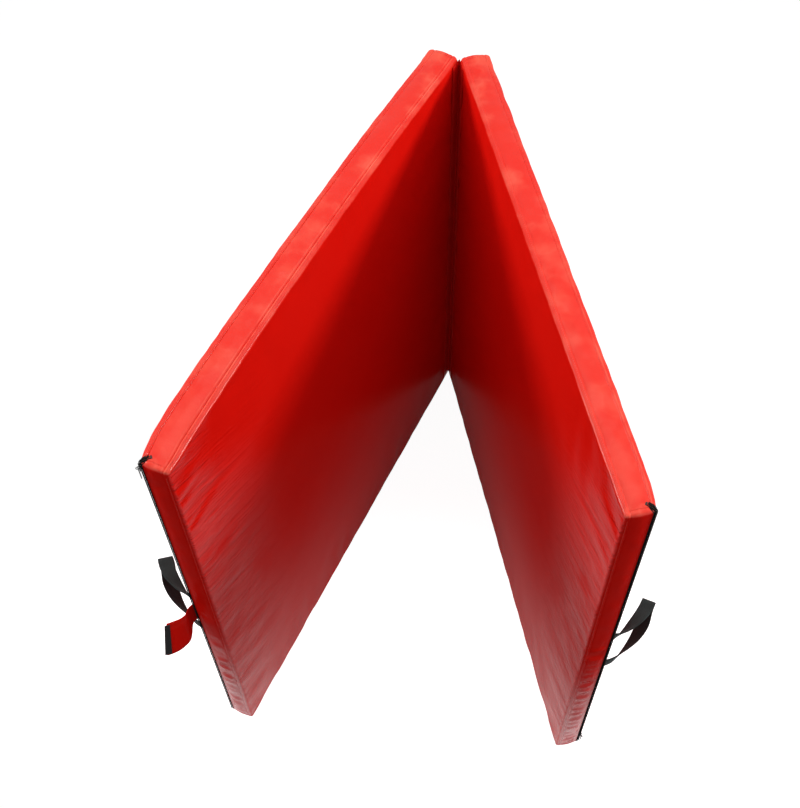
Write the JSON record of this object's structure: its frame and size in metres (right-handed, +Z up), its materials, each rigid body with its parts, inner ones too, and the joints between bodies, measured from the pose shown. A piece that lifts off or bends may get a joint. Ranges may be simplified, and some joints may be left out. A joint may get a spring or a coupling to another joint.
{
  "type": "folding exercise mat",
  "caption": "Bi-fold exercise mat of vinyl-covered foam panels on a fabric fold strip, with zipped covers, webbing carry handles and a hook-and-loop closure strap.",
  "frame": {"origin": "bottom centre of the bounding box, on the surface that the mat stands on", "axes": "+Z up along the fold, +Y from the free ends towards the fold, +X from the left panel to the right panel"},
  "size_m": [0.8984, 1.012, 1.0028],
  "materials": {
    "vinyl": "gloss",
    "foam": "matte",
    "fold_tape": "matte",
    "zip_tape": "matte",
    "zip_coil": "satin",
    "zip_metal": "satin",
    "webbing": "matte",
    "hook_and_loop": "matte"
  },
  "bodies": {
    "left_panel": {"left_foam_core": "foam", "left_face_cover": "vinyl", "left_back_cover": "vinyl", "left_top_wall": "vinyl", "left_bottom_wall": "vinyl", "left_end_wall": "vinyl", "left_hinge_wall": "vinyl", "left_fold_strip": "fold_tape", "left_zip_tape_back": "zip_tape", "left_zip_tape_end": "zip_tape", "left_zip_coil_back": "zip_coil", "left_zip_coil_end": "zip_coil", "left_zip_top_stop": "zip_metal", "left_zip_bottom_stop": "zip_metal", "left_handle_end_upper": "webbing", "left_handle_end_lower": "webbing"},
    "right_panel": {"right_foam_core": "foam", "right_face_cover": "vinyl", "right_back_cover": "vinyl", "right_top_wall": "vinyl", "right_bottom_wall": "vinyl", "right_end_wall": "vinyl", "right_hinge_wall": "vinyl", "right_fold_strip": "fold_tape", "right_zip_tape_back": "zip_tape", "right_zip_tape_end": "zip_tape", "right_zip_coil_back": "zip_coil", "right_zip_coil_end": "zip_coil", "right_zip_top_stop": "zip_metal", "right_zip_bottom_stop": "zip_metal", "right_handle_end_upper": "webbing", "right_handle_end_lower": "webbing", "right_loop_patch": "hook_and_loop"},
    "left_slider": {"left_zip_slider": "zip_metal"},
    "left_puller": {"left_zip_puller": "zip_metal"},
    "right_slider": {"right_zip_slider": "zip_metal"},
    "right_puller": {"right_zip_puller": "zip_metal"},
    "left_handle": {"left_handle_loop": "webbing"},
    "right_handle": {"right_handle_loop": "webbing"},
    "left_strap": {"left_closure_strap": "vinyl", "left_closure_hook_tape": "hook_and_loop"}
  },
  "joints": [
    {"name": "fold", "type": "hinge", "parent": "left_panel", "child": "right_panel", "pos_m": [-0.00303, 0.49344, 0.5], "axis": [0, 0, 1], "range_deg": [-37.48, 142.52]},
    {"name": "left_zip_travel", "type": "slide", "parent": "left_panel", "child": "left_slider", "axis": [0, 0, 1], "range_m": [-0.947, 0]},
    {"name": "left_puller_swing", "type": "hinge", "parent": "left_slider", "child": "left_puller", "pos_m": [-0.3754, -0.43791, 0.9845], "axis": [-0.4425, 0.8968, 0], "range_deg": [-2, 170]},
    {"name": "right_zip_travel", "type": "slide", "parent": "right_panel", "child": "right_slider", "axis": [0, 0, 1], "range_m": [0, 0.947]},
    {"name": "right_puller_swing", "type": "hinge", "parent": "right_slider", "child": "right_puller", "pos_m": [0.36934, -0.43791, 0.0375], "axis": [-0.4425, -0.8968, 0], "range_deg": [-2, 170]},
    {"name": "left_handle_swing", "type": "hinge", "parent": "left_panel", "child": "left_handle", "pos_m": [-0.36977, -0.42229, 0.465], "axis": [0, 0, -1], "range_deg": [-20, 36]},
    {"name": "right_handle_swing", "type": "hinge", "parent": "right_panel", "child": "right_handle", "pos_m": [0.36371, -0.42229, 0.465], "axis": [0, 0, 1], "range_deg": [-20, 40]},
    {"name": "closure_strap_swing", "type": "hinge", "parent": "left_panel", "child": "left_strap", "pos_m": [-0.36852, -0.41954, 0.475], "axis": [0, 0, -1], "range_deg": [-6, 55]}
  ]
}
